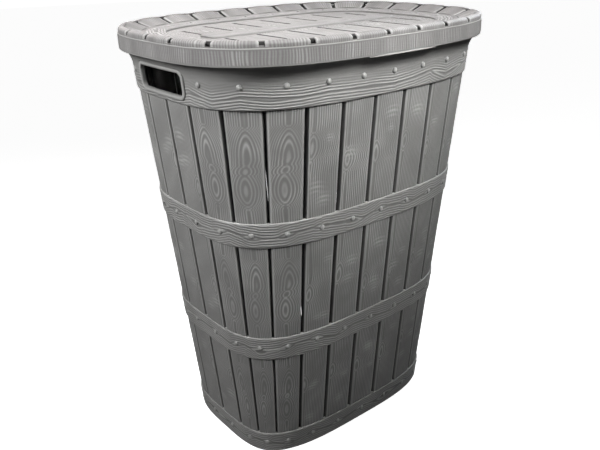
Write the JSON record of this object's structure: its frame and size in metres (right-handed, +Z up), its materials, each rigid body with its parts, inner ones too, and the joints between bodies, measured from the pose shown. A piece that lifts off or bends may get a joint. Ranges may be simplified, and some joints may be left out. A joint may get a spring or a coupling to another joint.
{
  "type": "laundry hamper",
  "caption": "Tapered oval laundry hamper of upright wood-grain plastic staves bound by riveted hoops, with hand openings in the collar and a dished lid hinged at the back.",
  "frame": {"origin": "centre of the footprint, on the surface the hamper stands on", "axes": "+Z up; +X along the length, towards one hand opening; -Y is the front, where the finger lift is, and the hinge is at +Y"},
  "size_m": [0.4624, 0.355, 0.5708],
  "materials": {
    "stave_plastic": "moulded upright wood grain with knots",
    "hoop_plastic": "moulded grain running round the hoop",
    "floor_plastic": "plain moulded",
    "lid_plastic": "moulded wood grain, fine upright ribs on the skirt",
    "trim_plastic": "smooth moulded"
  },
  "bodies": {
    "tub": {"stave_01": "stave_plastic", "stave_02": "stave_plastic", "stave_03": "stave_plastic", "stave_04": "stave_plastic", "stave_05": "stave_plastic", "stave_06": "stave_plastic", "stave_07": "stave_plastic", "stave_08": "stave_plastic", "stave_09": "stave_plastic", "stave_10": "stave_plastic", "stave_11": "stave_plastic", "stave_12": "stave_plastic", "stave_13": "stave_plastic", "stave_14": "stave_plastic", "stave_15": "stave_plastic", "stave_16": "stave_plastic", "stave_17": "stave_plastic", "stave_18": "stave_plastic", "stave_19": "stave_plastic", "stave_20": "stave_plastic", "stave_21": "stave_plastic", "stave_22": "stave_plastic", "stave_23": "stave_plastic", "stave_24": "stave_plastic", "stave_25": "stave_plastic", "stave_26": "stave_plastic", "floor_pan": "floor_plastic", "foot_ring": "floor_plastic", "base_hoop": "hoop_plastic", "lower_hoop": "hoop_plastic", "middle_hoop": "hoop_plastic", "collar": "hoop_plastic", "handle_frame_left": "trim_plastic", "handle_frame_right": "trim_plastic", "hinge_bracket_left": "trim_plastic", "hinge_bracket_right": "trim_plastic", "hinge_pin_left": "trim_plastic", "hinge_pin_right": "trim_plastic"},
    "lid": {"lid_skirt": "lid_plastic", "lid_rim": "lid_plastic", "lid_ring_band": "lid_plastic", "lid_panel": "lid_plastic", "lid_centre_band": "lid_plastic", "finger_lift": "lid_plastic", "lid_ear_left": "lid_plastic", "lid_ear_right": "lid_plastic"}
  },
  "joints": [
    {"name": "lid_hinge", "type": "hinge", "parent": "tub", "child": "lid", "pos_m": [0, 0.173, 0.5345], "axis": [-1, 0, 0], "range_deg": [0, 105]}
  ]
}
